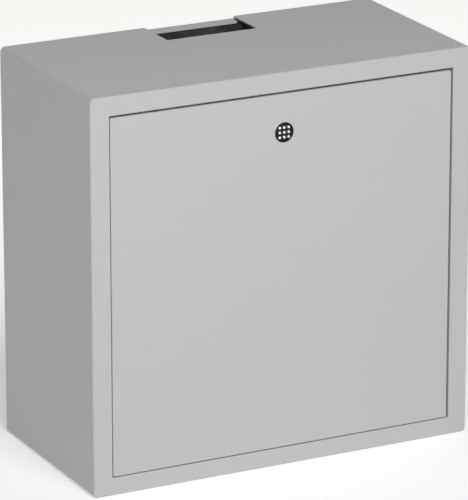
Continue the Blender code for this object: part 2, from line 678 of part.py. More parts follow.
def build_bail():
    bend = 0.004
    end = 0.161
    right = [(end, 0)] + arc(BAIL_HALF + 0.003, -0.003, 0.003, 90, 180, 5)
    right += arc(BAIL_HALF - bend, -BAIL_ARM + bend, bend, 0, -90, 6)
    points = right + [(-x, y) for x, y in reversed(right)]
    curve = bpy.data.curves.new("liner_bail", "CURVE")
    curve.dimensions = "3D"
    curve.bevel_depth = WIRE_RADIUS
    curve.bevel_resolution = 2
    curve.use_fill_caps = True
    spline = curve.splines.new("POLY")
    spline.points.add(len(points) - 1)
    for point, (x, y) in zip(spline.points, points):
        point.co = (x, y, 0, 1)
    add("liner_bail", curve, STEEL, bail_axis, (0, BAIL_Y, BAIL_Z))
    turned("bail_grip", ring_profile(WIRE_RADIUS + FIT, 0.0050, -0.045, 0.045), RUBBER, bail_axis,
           (0, BAIL_Y - BAIL_ARM, BAIL_Z), FACE_SIDE[1])


back_panel = build_casing()
build_slot(back_panel)
build_strike()
build_guides()
door_panel = build_door()
build_hinges(door_panel)
build_stays()
build_lock()
build_liner()
build_bail()
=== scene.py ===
"""The ashtray bin's looks: sheet-metal skins, lock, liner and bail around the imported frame."""

import json
import math

import bmesh
import bpy
from mathutils import Matrix, Vector


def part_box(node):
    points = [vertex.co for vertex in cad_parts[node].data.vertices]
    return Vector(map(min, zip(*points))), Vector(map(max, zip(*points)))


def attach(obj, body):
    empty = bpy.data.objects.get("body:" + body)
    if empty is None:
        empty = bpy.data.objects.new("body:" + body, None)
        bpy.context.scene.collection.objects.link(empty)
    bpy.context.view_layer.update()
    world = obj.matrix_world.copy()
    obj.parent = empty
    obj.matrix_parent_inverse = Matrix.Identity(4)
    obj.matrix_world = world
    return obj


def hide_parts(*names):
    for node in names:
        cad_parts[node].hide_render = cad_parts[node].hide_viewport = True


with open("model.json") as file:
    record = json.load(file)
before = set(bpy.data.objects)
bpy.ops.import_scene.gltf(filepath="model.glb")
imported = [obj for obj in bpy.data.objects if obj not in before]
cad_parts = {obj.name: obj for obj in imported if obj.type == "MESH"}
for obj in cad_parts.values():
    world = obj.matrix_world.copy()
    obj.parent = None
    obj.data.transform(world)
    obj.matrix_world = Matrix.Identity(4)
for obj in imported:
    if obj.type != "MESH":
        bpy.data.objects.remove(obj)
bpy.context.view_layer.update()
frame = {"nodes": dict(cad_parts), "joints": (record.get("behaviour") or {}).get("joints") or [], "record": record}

# ---------------------------------------------------------------- sizes, read from the frame
HOUSING_LOW, HOUSING_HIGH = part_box("housing_shell")
DOOR_LOW, DOOR_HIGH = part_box("door_panel")
BACK_LOW, BACK_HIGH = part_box("back_panel")
LEDGE_LOW, LEDGE_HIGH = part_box("stub_ledge")
LINER_LOW, LINER_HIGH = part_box("liner_body")
BARREL_LOW, BARREL_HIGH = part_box("lock_barrel")
JOINTS = {joint["name"]: joint for joint in frame["joints"]}

FRONT, REAR = HOUSING_LOW.y, HOUSING_HIGH.y
HEIGHT, HALF_WIDTH = HOUSING_HIGH.z, HOUSING_HIGH.x
SHEET = 0.0015
FRAME_SIDE, FRAME_TOP, FRAME_BOTTOM = 0.0195, 0.019, 0.0178
CORNER_RADIUS, FOLD_RADIUS, LIP_RADIUS = 0.005, 0.002, 0.0007
BACK_CORNER = CORNER_RADIUS - (HOUSING_HIGH.x - BACK_HIGH.x)
CORNER_STEPS, FOLD_STEPS = 10, 5
EDGE = 0.0003  # rounding of a cut sheet edge
FIT = 0.0003  # gap between pieces that touch
NOTCH_HALF, NOTCH_FRONT = 0.048, 0.0495
LOCK_HEAD = (BARREL_HIGH.x - BARREL_LOW.x) / 2 - 0.0025  # radius of the lock's round face
WALL_HOLE_X, WALL_HOLE_Z, WALL_HOLE_RADIUS = 0.150, (0.060, 0.330), 0.00275
RIVET_SHANK, RIVET_HOLE = 0.0016, 0.0019
RETURN_END = DOOR_HIGH.y
SMOOTH_ANGLE = math.radians(32)
ON_AXIS = 1e-7  # a turned profile's radius below this is a single point


# ---------------------------------------------------------------- materials
class Nodes:
    """A material's node tree with short calls to build it."""

    def __init__(self, name):
        self.material = bpy.data.materials.new(name)
        self.material.use_nodes = True
        self.tree = self.material.node_tree
        self.shader = self.tree.nodes["Principled BSDF"]
        coordinates = self.tree.nodes.new("ShaderNodeTexCoord")
        self.place = coordinates.outputs["Object"]

    def link(self, output, target):
        self.tree.links.new(output, target)

    def set(self, **values):
        for key, value in values.items():
            self.shader.inputs[key.replace("_", " ")].default_value = value

    def noise(self, scale, detail=2.0, rough=0.5, stretch=None):
        node = self.tree.nodes.new("ShaderNodeTexNoise")
        node.inputs["Scale"].default_value = scale
        node.inputs["Detail"].default_value = detail
        node.inputs["Roughness"].default_value = rough
        source = self.place
        if stretch:
            mapping = self.tree.nodes.new("ShaderNodeMapping")
            mapping.inputs["Scale"].default_value = stretch
            self.link(self.place, mapping.inputs["Vector"])
            source = mapping.outputs["Vector"]
        self.link(source, node.inputs["Vector"])
        return node.outputs["Fac"]

    def cells(self, scale):
        node = self.tree.nodes.new("ShaderNodeTexVoronoi")
        node.inputs["Scale"].default_value = scale
        self.link(self.place, node.inputs["Vector"])
        return node.outputs["Color"]

    def remap(self, value, low, high, from_low=0.0, from_high=1.0):
        node = self.tree.nodes.new("ShaderNodeMapRange")
        node.inputs["From Min"].default_value = from_low
        node.inputs["From Max"].default_value = from_high
        node.inputs["To Min"].default_value = low
        node.inputs["To Max"].default_value = high
        self.link(value, node.inputs["Value"])
        return node.outputs["Result"]

    def mix(self, factor, first, second):
        """A colour between two, where each is an RGB tuple or a colour output."""
        node = self.tree.nodes.new("ShaderNodeMix")
        node.data_type = "RGBA"
        self.link(factor, node.inputs["Factor"])
        for socket, colour in ((node.inputs[6], first), (node.inputs[7], second)):
            if isinstance(colour, tuple):
                socket.default_value = (*colour, 1.0)
            else:
                self.link(colour, socket)
        return node.outputs[2]

    def edges(self, radius, low=0.02, high=0.25):
        """0 on flats, rising to 1 within a radius of the mesh's edges and folds."""
        geometry = self.tree.nodes.new("ShaderNodeNewGeometry")
        bevel = self.tree.nodes.new("ShaderNodeBevel")
        bevel.samples = 6
        bevel.inputs["Radius"].default_value = radius
        dot = self.tree.nodes.new("ShaderNodeVectorMath")
        dot.operation = "DOT_PRODUCT"
        self.link(geometry.outputs["True Normal"], dot.inputs[0])
        self.link(bevel.outputs["Normal"], dot.inputs[1])
        return self.remap(dot.outputs["Value"], 1.0, 0.0, 1 - high, 1 - low)

    def bump(self, height, strength, distance, under=None):
        node = self.tree.nodes.new("ShaderNodeBump")
        node.inputs["Strength"].default_value = strength
        node.inputs["Distance"].default_value = distance
        self.link(height, node.inputs["Height"])
        if under:
            self.link(under, node.inputs["Normal"])
        return node.outputs["Normal"]

    def colour(self, output):
        self.link(output, self.shader.inputs["Base Color"])

    def roughness(self, output):
        self.link(output, self.shader.inputs["Roughness"])

    def normal(self, output):
        self.link(output, self.shader.inputs["Normal"])


def shade(colour, factor):
    return tuple(min(1.0, channel * factor) for channel in colour)


def powder_coat(name, colour, rough=0.5):
    """Fine-textured powder coat: a soft orange peel, a finer grain, and a painted highlight that makes the folds
    and cut edges paler.
    """
    nodes = Nodes(name)
    nodes.set(Metallic=0.0, Specular_IOR_Level=0.35)
    cloud = nodes.mix(nodes.noise(9, 3), shade(colour, 0.985), shade(colour, 1.015))
    grain = nodes.remap(nodes.noise(2600, 1), 0, 1, 0.35, 0.65)
    speck = nodes.mix(grain, shade(colour, 0.96), cloud)
    # Painted highlight: within 0.8 mm of edges and folds the colour is lifted 13 % paler.
    nodes.colour(nodes.mix(nodes.edges(0.0008), speck, shade(colour, 1.13)))
    nodes.roughness(nodes.remap(nodes.noise(700, 2), rough - 0.06, rough + 0.08))
    peel = nodes.bump(nodes.noise(420, 2, 0.6), 0.16, 0.0004)
    nodes.normal(nodes.bump(nodes.noise(1900, 2), 0.10, 0.0002, peel))
    return nodes.material


def galvanised(name):
    """Hot-dip zinc: cells of differing grey, dull, with rolling marks."""
    nodes = Nodes(name)
    nodes.set(Metallic=1.0)
    spangle = nodes.cells(95)
    cell = nodes.tree.nodes.new("ShaderNodeSeparateColor")
    nodes.link(spangle, cell.inputs["Color"])
    tone = nodes.remap(cell.outputs["Red"], 0.0, 1.0)
    base = nodes.mix(tone, (0.42, 0.44, 0.45), (0.62, 0.64, 0.65))
    stained = nodes.mix(nodes.remap(nodes.noise(14, 4), 0, 0.5, 0.5, 0.8), base, (0.33, 0.33, 0.32))
    nodes.colour(stained)
    nodes.roughness(nodes.remap(cell.outputs["Green"], 0.36, 0.56))
    nodes.normal(nodes.bump(nodes.noise(60, 2, stretch=(1, 1, 18)), 0.10, 0.0003))
    return nodes.material


def zinc_plate(name, colour=(0.62, 0.63, 0.64)):
    """Bright zinc plate: faint cloudy passivation, brushed grain and edges paler than the flats."""
    nodes = Nodes(name)
    nodes.set(Metallic=1.0)
    base = nodes.mix(nodes.noise(40, 3), shade(colour, 0.82), (0.66, 0.64, 0.58))
    nodes.colour(nodes.mix(nodes.edges(0.0004), base, shade(colour, 1.15)))
    nodes.roughness(nodes.remap(nodes.noise(300, 3, stretch=(1, 1, 9)), 0.24, 0.46))
    nodes.normal(nodes.bump(nodes.noise(900, 2, stretch=(1, 1, 6)), 0.12, 0.0002))
    return nodes.material


def bright_steel(name):
    nodes = Nodes(name)
    nodes.set(Metallic=1.0)
    nodes.colour(nodes.mix(nodes.noise(120, 3), (0.50, 0.50, 0.49), (0.66, 0.66, 0.64)))
    nodes.roughness(nodes.remap(nodes.noise(500, 3), 0.20, 0.36))
    nodes.normal(nodes.bump(nodes.noise(1200, 2), 0.08, 0.0002))
    return nodes.material


def rubber(name):
    nodes = Nodes(name)
    nodes.set(Metallic=0.0, Specular_IOR_Level=0.3)
    nodes.colour(nodes.mix(nodes.noise(60, 3), (0.014, 0.014, 0.014), (0.030, 0.030, 0.029)))
    nodes.roughness(nodes.remap(nodes.noise(400, 2), 0.70, 0.88))
    nodes.normal(nodes.bump(nodes.noise(1500, 2), 0.25, 0.0003))
    return nodes.material


def stove_paint(name):
    """Matt black heat-resistant paint, dulled by ash towards grey in patches; its black stands in for the shade
    deep inside the drop slot: painted shade.
    """
    nodes = Nodes(name)
    nodes.set(Metallic=0.0, Specular_IOR_Level=0.25)
    ash = nodes.remap(nodes.noise(55, 4), 0, 1, 0.5, 0.85)
    nodes.colour(nodes.mix(ash, (0.024, 0.024, 0.022), (0.085, 0.083, 0.078)))
    nodes.roughness(nodes.remap(nodes.noise(200, 3), 0.62, 0.85))
    nodes.normal(nodes.bump(nodes.noise(1100, 2), 0.20, 0.0003))
    return nodes.material


def black_lock(name):
    """Black chromate, slightly uneven in tone and sheen."""
    nodes = Nodes(name)
    nodes.set(Metallic=0.0, Specular_IOR_Level=0.3)
    nodes.colour(nodes.mix(nodes.noise(300, 2), (0.006, 0.006, 0.006), (0.014, 0.014, 0.013)))
    nodes.roughness(nodes.remap(nodes.noise(900, 2), 0.30, 0.46))
    nodes.normal(nodes.bump(nodes.noise(2500, 2), 0.06, 0.0001))
    return nodes.material


def white_enamel(name):
    """The enamelled pins of the lock's face."""
    nodes = Nodes(name)
    nodes.set(Metallic=0.0, Specular_IOR_Level=0.4)
    nodes.colour(nodes.mix(nodes.noise(900, 2), (0.86, 0.86, 0.84), (0.92, 0.92, 0.90)))
    nodes.roughness(nodes.remap(nodes.noise(1500, 2), 0.30, 0.42))
    return nodes.material


def nylon(name):
    nodes = Nodes(name)
    nodes.set(Metallic=0.0, Subsurface_Weight=0.08, Subsurface_Scale=0.002)
    nodes.colour(nodes.mix(nodes.noise(80, 2), (0.70, 0.69, 0.64), (0.78, 0.77, 0.73)))
    nodes.roughness(nodes.remap(nodes.noise(500, 2), 0.42, 0.55))
    return nodes.material


def paper(name):
    """White studio paper that glows faintly warm, weakly near the object and more strongly towards the back, so
    that it reads as white: painted light that also lights the object.
    """
    nodes = Nodes(name)
    nodes.set(Specular_IOR_Level=0.0)
    nodes.colour(nodes.mix(nodes.noise(3, 2), (0.86, 0.86, 0.86), (0.88, 0.88, 0.88)))
    nodes.roughness(nodes.remap(nodes.noise(5, 2), 0.85, 0.95))
    # Painted light: an emission whose strength rises from 0.05 to 1 towards the back.
    nodes.set(Emission_Color=(1, 1, 0.97, 1))
    depth = nodes.tree.nodes.new("ShaderNodeSeparateXYZ")
    nodes.link(nodes.place, depth.inputs["Vector"])
    painted_glow = nodes.remap(depth.outputs["Y"], 0.34, 0.67, 0.05, 1.0)
    nodes.link(painted_glow, nodes.shader.inputs["Emission Strength"])
    return nodes.material


GREY = powder_coat("grey_powder_coat", (0.572, 0.570, 0.563))
# Painted shade: the chute inside the slot is black so that the slot reads dark.
SHADE_BLACK_PAINT = stove_paint("black_stove_paint")
GALVANISED = galvanised("galvanised_sheet")
ZINC = zinc_plate("zinc_plate")
STEEL = bright_steel("bright_steel")
RUBBER = rubber("black_rubber")
NYLON = nylon("nylon")
LOCK_BLACK = black_lock("black_lock")
PINS = white_enamel("white_pins")
LOOKS = {
    "grey_powder_coat": GREY, "black_stove_paint": SHADE_BLACK_PAINT, "galvanised_sheet": GALVANISED,
    "zinc_plate": ZINC, "bright_steel": STEEL, "black_rubber": RUBBER, "nylon": NYLON,
    "black_lock": LOCK_BLACK, "white_pins": PINS,
}
SLOT_OF = {entry["node"]: entry["material_slot"] for entry in frame["record"]["subparts"]}
BODY_OF = {
    node: body for body, nodes in frame["record"]["behaviour"]["bodies"].items() for node in nodes
}


# ---------------------------------------------------------------- mesh tools
def link(name, data, look):
    made = bpy.data.objects.new(name, data)
    bpy.context.scene.collection.objects.link(made)
    data.name = name
    data.materials.clear()
    data.materials.append(look)
    return made


def mesh_object(name, bm, look, angle=SMOOTH_ANGLE):
    """A closed mesh, faces out, smooth but for its sharp edges."""
    bmesh.ops.recalc_face_normals(bm, faces=bm.faces)
    mesh = bpy.data.meshes.new(name)
    bm.to_mesh(mesh)
    bm.free()
    mesh.shade_smooth()
    mesh.set_sharp_from_angle(angle=angle)
    return link(name, mesh, look)


def apply_modifiers(made, angle=SMOOTH_ANGLE):
    bpy.context.view_layer.update()
    evaluated = made.evaluated_get(bpy.context.evaluated_depsgraph_get())
    mesh = bpy.data.meshes.new_from_object(evaluated)
    look = made.data.materials[0]
    made.modifiers.clear()
    made.data = mesh
    mesh.name = made.name
    mesh.materials.clear()
    mesh.materials.append(look)
    mesh.polygons.foreach_set("material_index", [0] * len(mesh.polygons))
    mesh.shade_smooth()
    mesh.set_sharp_from_angle(angle=angle)
    return made


def carve(made, cutters, operation="DIFFERENCE"):
    """Cuts or joins helpers into a mesh and removes them."""
    for cutter in cutters:
        modifier = made.modifiers.new(cutter.name, "BOOLEAN")
        modifier.operation = operation
        modifier.object = cutter
    apply_modifiers(made)
    for cutter in cutters:
        bpy.data.objects.remove(cutter, do_unlink=True)
    return made


def even_normals(made):
    """Keeps large flats flat beside their rounded edges."""
    modifier = made.modifiers.new("weighted", "WEIGHTED_NORMAL")
    modifier.keep_sharp = True
    modifier.weight = 100
    return made


def stand_for(piece, node):
    """The piece replaces a CAD node and moves with its body."""
    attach(piece, BODY_OF[node])
    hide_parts(node)
    return piece


def rounded_ring(low_u, high_u, low_v, high_v, radius, steps=CORNER_STEPS):
    """Points round a rectangle with round corners."""
    corners = (
        (high_u - radius, low_v + radius, -90),
        (high_u - radius, high_v - radius, 0),
        (low_u + radius, high_v - radius, 90),
        (low_u + radius, low_v + radius, 180),
    )
    points = []
    for u, v, start in corners:
        for step in range(steps + 1):
            angle = math.radians(start + 90 * step / steps)
            points.append((u + radius * math.cos(angle), v + radius * math.sin(angle)))
    return points


def loft(name, rings, look, closed=False):
    """A skin through rings of equal point counts: capped at both ends, or closed on itself."""
    bm = bmesh.new()
    rows = [[bm.verts.new(point) for point in ring] for ring in rings]
    pairs = list(zip(rows, rows[1:]))
    if closed:
        pairs.append((rows[-1], rows[0]))
    else:
        bm.faces.new(rows[0])
        bm.faces.new(rows[-1])
    for row, after in pairs:
        for i in range(len(row)):
            k = (i + 1) % len(row)
            bm.faces.new((row[i], row[k], after[k], after[i]))
    return mesh_object(name, bm, look)


def quarter(radius, steps=FOLD_STEPS):
    """(inset, rise) along a quarter circle, from a wall at (0, 0) round to a face at radius."""
    angles = [math.pi / 2 * i / steps for i in range(steps + 1)]
    return [(radius * (1 - math.cos(angle)), radius * math.sin(angle)) for angle in angles]


def turn(name, profile, look, location, direction, steps=48, angle=SMOOTH_ANGLE):
    """(radius, height) points, outer side downwards, turned about a direction through location."""
    bm = bmesh.new()
    rotation = Vector((0, 0, 1)).rotation_difference(Vector(direction)).to_matrix()
    rows = []
    for radius, height in profile:
        count = steps if radius > ON_AXIS else 1
        row = []
        for i in range(count):
            spin = math.tau * i / steps
            point = Vector((radius * math.cos(spin), radius * math.sin(spin), height))
            row.append(bm.verts.new(rotation @ point + Vector(location)))
        rows.append(row)
    pairs = list(zip(rows, rows[1:]))
    if profile[0][0] > ON_AXIS:
        pairs.append((rows[-1], rows[0]))
    for row, after in pairs:
        for i in range(steps):
            k = (i + 1) % steps
            corners = [row[i % len(row)], row[k % len(row)]]
            corners += [after[k % len(after)], after[i % len(after)]]
            unique = list(dict.fromkeys(corners))
            if len(unique) > 2:
                bm.faces.new(unique)
    return mesh_object(name, bm, look, angle)


def softened(node, width=0.00025, segments=2):
    """A copy of a CAD node with flat faces merged and its sharp edges rounded."""
    bm = bmesh.new()
    bm.from_mesh(frame["nodes"][node].data)
    bmesh.ops.remove_doubles(bm, verts=bm.verts, dist=2e-6)
    bmesh.ops.dissolve_limit(
        bm, angle_limit=math.radians(1.0), verts=bm.verts, edges=bm.edges, delimit=set()
    )
    made = mesh_object(node + "_skin", bm, LOOKS[SLOT_OF[node]])
    bevel = made.modifiers.new("edges", "BEVEL")
    bevel.width = width
    bevel.segments = segments
    bevel.limit_method = "ANGLE"
    bevel.angle_limit = math.radians(40)
    bevel.use_clamp_overlap = True
    bevel.harden_normals = False
    apply_modifiers(made)
    return stand_for(even_normals(made), node)


def helper_box(name, low, high):
    bm = bmesh.new()
    bmesh.ops.create_cube(bm, size=1.0)
    for vert in bm.verts:
        vert.co = Vector(a + (c + 0.5) * (b - a) for a, b, c in zip(low, high, vert.co))
    return mesh_object(name, bm, GREY)


# ---------------------------------------------------------------- casing
def outer_ring(inset, y):
    points = rounded_ring(
        -HALF_WIDTH + inset, HALF_WIDTH - inset, inset, HEIGHT - inset, CORNER_RADIUS - inset
    )
    return [(u, y, v) for u, v in points]


def opening_ring(outset, y):
    half = HALF_WIDTH - FRAME_SIDE + outset
    points = rounded_ring(
        -half, half, FRAME_BOTTOM - outset, HEIGHT - FRAME_TOP + outset, 0.0008 + outset
    )
    return [(u, y, v) for u, v in points]


def notch_cutter():
    """The slot's opening, flared at the top so that the cut edge is rounded."""
    rings = []
    flare = [(EDGE - inset, HEIGHT - rise) for inset, rise in reversed(quarter(EDGE, 3))]
    for outset, z in [(0, HEIGHT - 0.004), *flare, (EDGE * 2, HEIGHT + 0.001)]:
        low_x, high_x = -NOTCH_HALF - outset, NOTCH_HALF + outset
        ring = rounded_ring(low_x, high_x, NOTCH_FRONT - outset, REAR + 0.004, 0.0008 + outset, 4)
        rings.append([(u, v, z) for u, v in ring])
    return loft("notch_cutter", rings, GREY)


def across_hinge(name, radius, half_length, steps):
    """A rod along the door's hinge axis, to cut the holes with."""
    hinge = JOINTS["door_tilt"]["pos_m"]
    profile = [(0, half_length), (radius, half_length), (radius, -half_length), (0, -half_length)]
    return turn(name, profile, GREY, (0, hinge[1], hinge[2]), (1, 0, 0), steps)


def build_housing():
    rings = [outer_ring(EDGE, REAR), outer_ring(0, REAR - EDGE)]
    rings += [outer_ring(inset, FRONT + FOLD_RADIUS - rise) for inset, rise in quarter(FOLD_RADIUS)]
    rings += [
        opening_ring(LIP_RADIUS - rise, FRONT + inset)
        for inset, rise in quarter(LIP_RADIUS, 4)
    ]
    rings += [
        opening_ring(0, RETURN_END - EDGE), opening_ring(EDGE, RETURN_END),
        opening_ring(SHEET - EDGE, RETURN_END), opening_ring(SHEET, RETURN_END - EDGE),
        opening_ring(SHEET, FRONT + SHEET),
    ]
    rings += [
        outer_ring(SHEET + 0.0005 - rise, FRONT + SHEET + inset)
        for inset, rise in quarter(0.0005, 2)
    ]
    rings += [outer_ring(SHEET, REAR - EDGE), outer_ring(SHEET - EDGE, REAR)]
    shell = loft("housing_skin", rings, GREY, closed=True)
    carve(shell, [notch_cutter(), across_hinge("pin_cutter", 0.0028, 0.184, 24)])
    stand_for(even_normals(shell), "housing_shell")


def pan_rings(ring, low, high, sheet, fold):
    """Rings of a one-sided pan: inner face, inner wall, cut edge, outer wall, fold, outer face.

    low is the level of its outer face and high that of its open edge.
    """
    toward = 1 if high > low else -1
    rings = [ring(sheet, low + toward * sheet), ring(sheet, high - toward * EDGE)]
    rings += [ring(sheet - EDGE, high), ring(EDGE, high)]
    rings.append(ring(0, high - toward * EDGE))
    rings += [ring(inset, low + toward * (fold - rise)) for inset, rise in quarter(fold)]
    return rings


def build_door():
    def ring(inset, y):
        points = rounded_ring(
            DOOR_LOW.x + inset, DOOR_HIGH.x - inset, DOOR_LOW.z + inset, DOOR_HIGH.z - inset,
            max(0.0004, 0.002 - inset),
        )
        return [(u, y, v) for u, v in points]

    door = loft("door_skin", pan_rings(ring, FRONT, RETURN_END, SHEET, 0.0009), GREY)
    lock = JOINTS["lock_turn"]["pos_m"]
    lip, hole = 0.0004, LOCK_HEAD + FIT
    profile = [(0, 0.001), (hole + 2 * lip, 0.001), (hole + lip, 0)]
    profile += [(hole + 0.3 * lip, -0.3 * lip), (hole, -lip), (hole, -0.006), (0, -0.006)]
    cutter = turn("lock_cutter", profile, GREY, (lock[0], FRONT, lock[2]), (0, -1, 0), 64)
    carve(door, [cutter, across_hinge("bush_cutter", 0.0039, 0.1815, 32)])
    stand_for(even_normals(door), "door_panel")


def build_back():
    def ring(inset, y):
        points = rounded_ring(
            BACK_LOW.x + inset, BACK_HIGH.x - inset, BACK_LOW.z + inset, BACK_HIGH.z - inset,
            BACK_CORNER - inset,
        )
        return [(u, y, v) for u, v in points]

    back = loft("back_skin", pan_rings(ring, REAR, BACK_LOW.y, SHEET, 0.0018), GREY)
    cutters = [
        helper_box("back_notch", (-NOTCH_HALF - 0.001, BACK_LOW.y - 0.001, HEIGHT - 0.010),
                   (NOTCH_HALF + 0.001, REAR - SHEET, HEIGHT)),
    ]
    profile = [
        (0, 0.001), (0.0034, 0.001), (0.0031, 0), (WALL_HOLE_RADIUS, -EDGE),
        (WALL_HOLE_RADIUS, -0.004), (0, -0.004),
    ]
    for x in (-WALL_HOLE_X, WALL_HOLE_X):
        for z in WALL_HOLE_Z:
            cutters.append(turn("wall_hole_cutter", profile, GREY, (x, REAR, z), (0, 1, 0), 32))
    carve(back, cutters)
    stand_for(even_normals(back), "back_panel")


def build_ledge():
    top, corner, edge = LEDGE_HIGH.z, 0.004, 0.0004

    def ring(inset, z):
        points = rounded_ring(
            LEDGE_LOW.x + inset, LEDGE_HIGH.x - inset, LEDGE_LOW.y + inset, LEDGE_HIGH.y - inset,
            corner - inset, 8,
        )
        return [(u, v, z) for u, v in points]

    rings = [ring(inset, top - SHEET + edge - rise) for inset, rise in reversed(quarter(edge, 3))]
    rings += [ring(inset, top - edge + rise) for inset, rise in quarter(edge, 3)]
    ledge = loft("ledge_skin", rings, GREY)
    tab = helper_box("ledge_tab", (-0.040, LEDGE_HIGH.y - 0.0013, LEDGE_LOW.z),
                     (0.040, LEDGE_HIGH.y - 0.0001, top - SHEET / 2))
    carve(ledge, [tab], "UNION")
    stand_for(even_normals(ledge), "stub_ledge")


# ---------------------------------------------------------------- lock
def build_lock():
    lock = JOINTS["lock_turn"]["pos_m"]
    face = (lock[0], FRONT, lock[2])
    outward = (0, -1, 0)
    head, shoulder, well, well_depth = LOCK_HEAD, 0.012, 0.0086, 0.0032
    barrel = turn(
        "lock_barrel_skin",
        [(head - 0.0004, 0), (head - 0.0001, -0.0001), (head, -0.0004), (head, -0.0019),
         (shoulder - 0.0003, -0.0019), (shoulder, -0.0022), (shoulder, -0.0052),
         (shoulder - 0.0003, -0.0055), (0.0088, -0.0055), (0.0088, -0.0062)]
        + [(0.0090 - 0.0003 * (i % 2), -0.0066 - 0.0004 * i) for i in range(24)]
        + [(0.0086, -0.0164), (0.0068, -0.0164), (0.0068, -well_depth), (well, -well_depth),
           (well, -0.0002), (well + 0.0002, 0)],
        LOCK_BLACK, face, outward, 64, math.radians(50),
    )
    stand_for(barrel, "lock_barrel")

    flange, flange_face = well - FIT, -0.0020
    plug = turn(
        "lock_plug_skin",
        [(0, flange_face), (flange, flange_face), (flange, -well_depth + FIT),
         (0.0065, -well_depth + FIT), (0.0065, -0.0168), (0.0040, -0.0168), (0.0040, -0.0193),
         (0, -0.0193)],
        LOCK_BLACK, face, outward, 64,
    )
    stand_for(plug, "lock_plug")

    plate_top, plate_low = -0.0010, flange_face + FIT
    carrier = turn(
        "pin_carrier",
        [(0, plate_top), (flange - 0.0002, plate_top), (flange, plate_top - 0.0002),
         (flange, plate_low), (0, plate_low)],
        LOCK_BLACK, face, outward, 64,
    )
    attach(carrier, BODY_OF["lock_plug"])

    pitch, radius, sides = 0.0047, 0.00125, 20
    bm = bmesh.new()
    for place in range(9):
        across, upright = pitch * (place % 3 - 1), pitch * (place // 3 - 1)
        rows = [
            [
                bm.verts.new((
                    lock[0] + across + reach * math.cos(math.tau * k / sides),
                    FRONT - height,
                    lock[2] + upright + reach * math.sin(math.tau * k / sides),
                ))
                for k in range(sides)
            ]
            for reach, height in (
                (radius, plate_top - 0.0003), (radius, -0.0003), (radius * 0.95, -0.00015),
                (radius * 0.8, -0.0001),
            )
        ]
        bm.faces.new(rows[0])
        bm.faces.new(rows[-1])
        for row, after in zip(rows, rows[1:]):
            for k in range(sides):
                j = (k + 1) % sides
                bm.faces.new((row[k], row[j], after[j], after[k]))
    stand_for(mesh_object("lock_pins", bm, PINS), "lock_pin_plate")


# ---------------------------------------------------------------- liner and bail
def build_liner():
    sheet, rim = 0.001, 0.004
    low, high = LINER_LOW, LINER_HIGH
    wall_x, wall_front, wall_rear = high.x - rim, low.y + rim, high.y - rim

    def ring(outset, z, radius):
        points = rounded_ring(
            -wall_x - outset, wall_x + outset, wall_front - outset, wall_rear + outset, radius, 8
        )
        return [(u, v, z) for u, v in points]

    floor, top, fold, roll = low.z, high.z, 0.003, 0.0012
    rings = [ring(-sheet - 0.002, floor + sheet, 0.003), ring(-sheet, floor + sheet + 0.002, 0.005)]
    rings += [
        ring(-sheet + inset, top - roll + rise, 0.005 + inset) for inset, rise in quarter(roll, 4)
    ]
    rings += [ring(rim - 0.0003, top, 0.0097), ring(rim, top - 0.0003, 0.010)]
    rings += [ring(rim, top - sheet + 0.0003, 0.010), ring(rim - 0.0003, top - sheet, 0.0097)]
    rings += [ring(0.0004, top - sheet, 0.0064), ring(0, top - sheet - 0.0004, 0.006)]
    rings += [
        ring(-inset, floor + fold - rise, 0.006 - inset) for inset, rise in quarter(fold)
    ]
    liner = loft("liner_skin", rings, GALVANISED)
    cutters = []
    for node in frame["nodes"]:
        if node.startswith(("hook_rivet", "ear_rivet")):
            centre = sum(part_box(node), Vector()) / 2
            along = (1, 0, 0) if node.startswith("ear") else (0, 1, 0)
            cutters.append(turn(
                node + "_hole",
                [(0, 0.004), (RIVET_HOLE, 0.004), (RIVET_HOLE, -0.004), (0, -0.004)],
                GALVANISED, centre, along, 20,
            ))
    carve(liner, cutters)
    stand_for(even_normals(liner), "liner_body")


def tube(name, path, radius, look, sides=20):
    """A round wire along a path in one plane, with slightly rounded ends."""
    bm = bmesh.new()
    points = [Vector(p) for p in path]
    rows = []
    for i, point in enumerate(points):
        before, after = points[max(i - 1, 0)], points[min(i + 1, len(points) - 1)]
        along = (after - before).normalized()
        up = Vector((0, 0, 1))
        side = along.cross(up).normalized()
        scale = 0.8 if i in (0, len(points) - 1) else 1.0
        rows.append([
            bm.verts.new(point + radius * scale * (
                math.cos(math.tau * k / sides) * side + math.sin(math.tau * k / sides) * up
            ))
            for k in range(sides)
        ])
    bm.faces.new(rows[0])
    bm.faces.new(rows[-1])
    for row, after_row in zip(rows, rows[1:]):
        for k in range(sides):
            j = (k + 1) % sides
            bm.faces.new((row[k], row[j], after_row[j], after_row[k]))
    return mesh_object(name, bm, look)


def arc_points(centre, radius, start, end, steps=12):
    return [
        (
            centre[0] + radius * math.cos(math.radians(start + (end - start) * i / steps)),
            centre[1] + radius * math.sin(math.radians(start + (end - start) * i / steps)),
        )
        for i in range(steps + 1)
    ]


